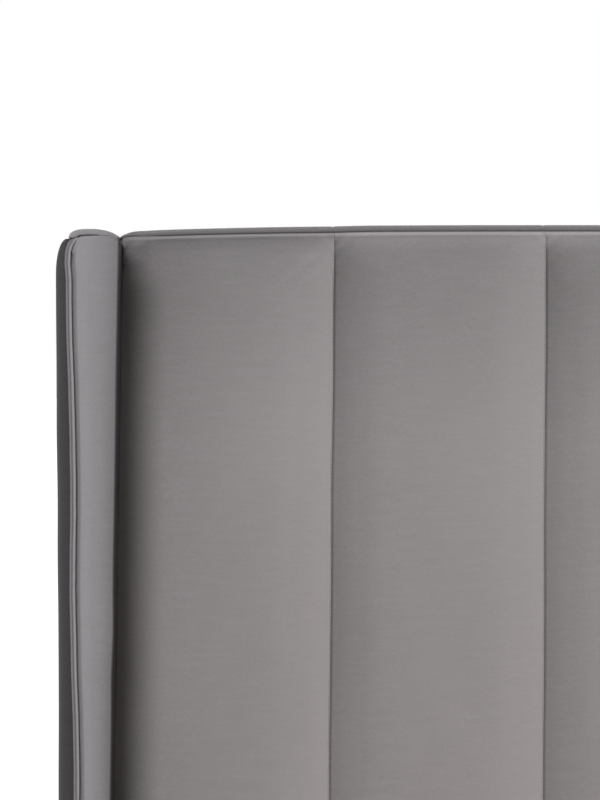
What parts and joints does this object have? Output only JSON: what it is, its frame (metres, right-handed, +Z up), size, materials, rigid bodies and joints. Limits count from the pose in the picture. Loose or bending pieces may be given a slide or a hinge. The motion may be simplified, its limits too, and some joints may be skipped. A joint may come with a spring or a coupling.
{
  "type": "ottoman bed",
  "caption": "Upholstered ottoman bed with a winged, vertically channelled headboard and a slatted platform that lifts at the foot over a storage base.",
  "frame": {"origin": "on the floor under the middle of the bed", "axes": "+X across the bed to the right of someone who looks at the headboard from the foot, +Y towards the headboard, +Z up"},
  "size_m": [1.5308, 2.099, 1.2199],
  "materials": {
    "velvet": "plush cut-pile velvet, mid grey",
    "backing_cloth": "black non-woven dust cloth",
    "pine": "planed pine",
    "particle_board": "raw particle board",
    "floor_board": "dark laminated board",
    "foot_plastic": "black moulded glide",
    "bracket_steel": "black powder coat",
    "bright_steel": "zinc-plated steel",
    "lift_steel": "black powder-coated steel plate",
    "strut_paint": "satin black paint",
    "strut_chrome": "polished rod",
    "slat_beech": "bent beech ply, lacquered",
    "cap_plastic": "black moulded plastic",
    "webbing": "woven black webbing",
    "tube_paint": "dark grey powder coat"
  },
  "bodies": {
    "base": {"feet": "foot_plastic", "floor_battens": "pine", "foot_brackets": "bracket_steel", "foot_ledge": "pine", "foot_rail": "particle_board", "foot_rail_cover": "velvet", "frame_bolts": "bright_steel", "head_back_cover": "backing_cloth", "head_channel_1": "velvet", "head_channel_2": "velvet", "head_channel_3": "velvet", "head_channel_4": "velvet", "head_channel_5": "velvet", "head_frame": "pine", "head_front_panel": "particle_board", "head_top_border": "velvet", "lift_base_pins": "bright_steel", "lift_base_plate_left": "lift_steel", "lift_base_plate_right": "lift_steel", "rail_hooks": "bracket_steel", "rest_bracket_left": "bracket_steel", "rest_bracket_right": "bracket_steel", "side_rail_cover_left": "velvet", "side_rail_cover_right": "velvet", "side_rail_left": "particle_board", "side_rail_right": "particle_board", "storage_floor": "floor_board", "wing_core_left": "particle_board", "wing_core_right": "particle_board", "wing_edge_pad_left": "velvet", "wing_edge_pad_right": "velvet", "wing_inner_pad_left": "velvet", "wing_inner_pad_right": "velvet", "wing_outer_pad_left": "velvet", "wing_outer_pad_right": "velvet", "wing_piping_left": "velvet", "wing_piping_right": "velvet"},
    "platform": {"lift_top_plate_left": "lift_steel", "lift_top_plate_right": "lift_steel", "mattress_hoop_left": "tube_paint", "mattress_hoop_right": "tube_paint", "platform_centre_tube": "tube_paint", "platform_cross_tubes": "tube_paint", "platform_fasteners": "bright_steel", "platform_foot_tube": "tube_paint", "platform_head_tube": "tube_paint", "platform_side_tube_left": "tube_paint", "platform_side_tube_right": "tube_paint", "pull_strap": "webbing", "slat_caps": "cap_plastic", "slat_row_left": "slat_beech", "slat_row_right": "slat_beech"},
    "main_arm_left": {"lift_main_arm_left": "lift_steel"},
    "second_arm_left": {"lift_second_arm_left": "lift_steel"},
    "strut_cylinder_left": {"strut_cylinder_left": "strut_paint"},
    "strut_rod_left": {"strut_rod_left": "strut_chrome"},
    "main_arm_right": {"lift_main_arm_right": "lift_steel"},
    "second_arm_right": {"lift_second_arm_right": "lift_steel"},
    "strut_cylinder_right": {"strut_cylinder_right": "strut_paint"},
    "strut_rod_right": {"strut_rod_right": "strut_chrome"}
  },
  "joints": [
    {"name": "main_arm_left_pivot", "type": "hinge", "parent": "base", "child": "main_arm_left", "pos_m": [-0.6915, 0.2587, 0.285], "axis": [1, 0, 0], "range_deg": [0, 47.5]},
    {"name": "platform_lift", "type": "hinge", "parent": "main_arm_left", "child": "platform", "pos_m": [-0.6915, 0.5366, 0.305], "axis": [-1, 0, 0], "range_deg": [0, 81.7]},
    {"name": "main_arm_right_pivot", "type": "hinge", "parent": "base", "child": "main_arm_right", "pos_m": [0.6915, 0.2587, 0.285], "axis": [1, 0, 0], "range_deg": [0, 47.5]},
    {"name": "second_arm_left_pivot", "type": "hinge", "parent": "base", "child": "second_arm_left", "pos_m": [-0.6815, 0.0172, 0.1741], "axis": [1, 0, 0], "range_deg": [0, 33.87]},
    {"name": "strut_foot_left_pivot", "type": "hinge", "parent": "base", "child": "strut_cylinder_left", "pos_m": [-0.666, 0.29344, 0.088], "axis": [1, 0, 0], "range_deg": [0, 23.75]},
    {"name": "strut_stud_left_pivot", "type": "hinge", "parent": "main_arm_left", "child": "strut_rod_left", "pos_m": [-0.666, 0.44667, 0.21658], "axis": [-1, 0, 0], "range_deg": [0, 23.75]},
    {"name": "second_arm_right_pivot", "type": "hinge", "parent": "base", "child": "second_arm_right", "pos_m": [0.6815, 0.0172, 0.1741], "axis": [1, 0, 0], "range_deg": [0, 33.87]},
    {"name": "strut_foot_right_pivot", "type": "hinge", "parent": "base", "child": "strut_cylinder_right", "pos_m": [0.666, 0.29344, 0.088], "axis": [1, 0, 0], "range_deg": [0, 23.75]},
    {"name": "strut_stud_right_pivot", "type": "hinge", "parent": "main_arm_right", "child": "strut_rod_right", "pos_m": [0.666, 0.44667, 0.21658], "axis": [-1, 0, 0], "range_deg": [0, 23.75]}
  ],
  "couplings": [
    {"joint": "main_arm_left_pivot", "follows": "platform_lift", "ratio": 0.58072},
    {"joint": "second_arm_left_pivot", "follows": "platform_lift", "ratio": 0.41405},
    {"joint": "strut_foot_left_pivot", "follows": "platform_lift", "ratio": 0.29036},
    {"joint": "strut_stud_left_pivot", "follows": "platform_lift", "ratio": 0.29036},
    {"joint": "main_arm_right_pivot", "follows": "platform_lift", "ratio": 0.58072},
    {"joint": "second_arm_right_pivot", "follows": "platform_lift", "ratio": 0.41405},
    {"joint": "strut_foot_right_pivot", "follows": "platform_lift", "ratio": 0.29036},
    {"joint": "strut_stud_right_pivot", "follows": "platform_lift", "ratio": 0.29036}
  ]
}
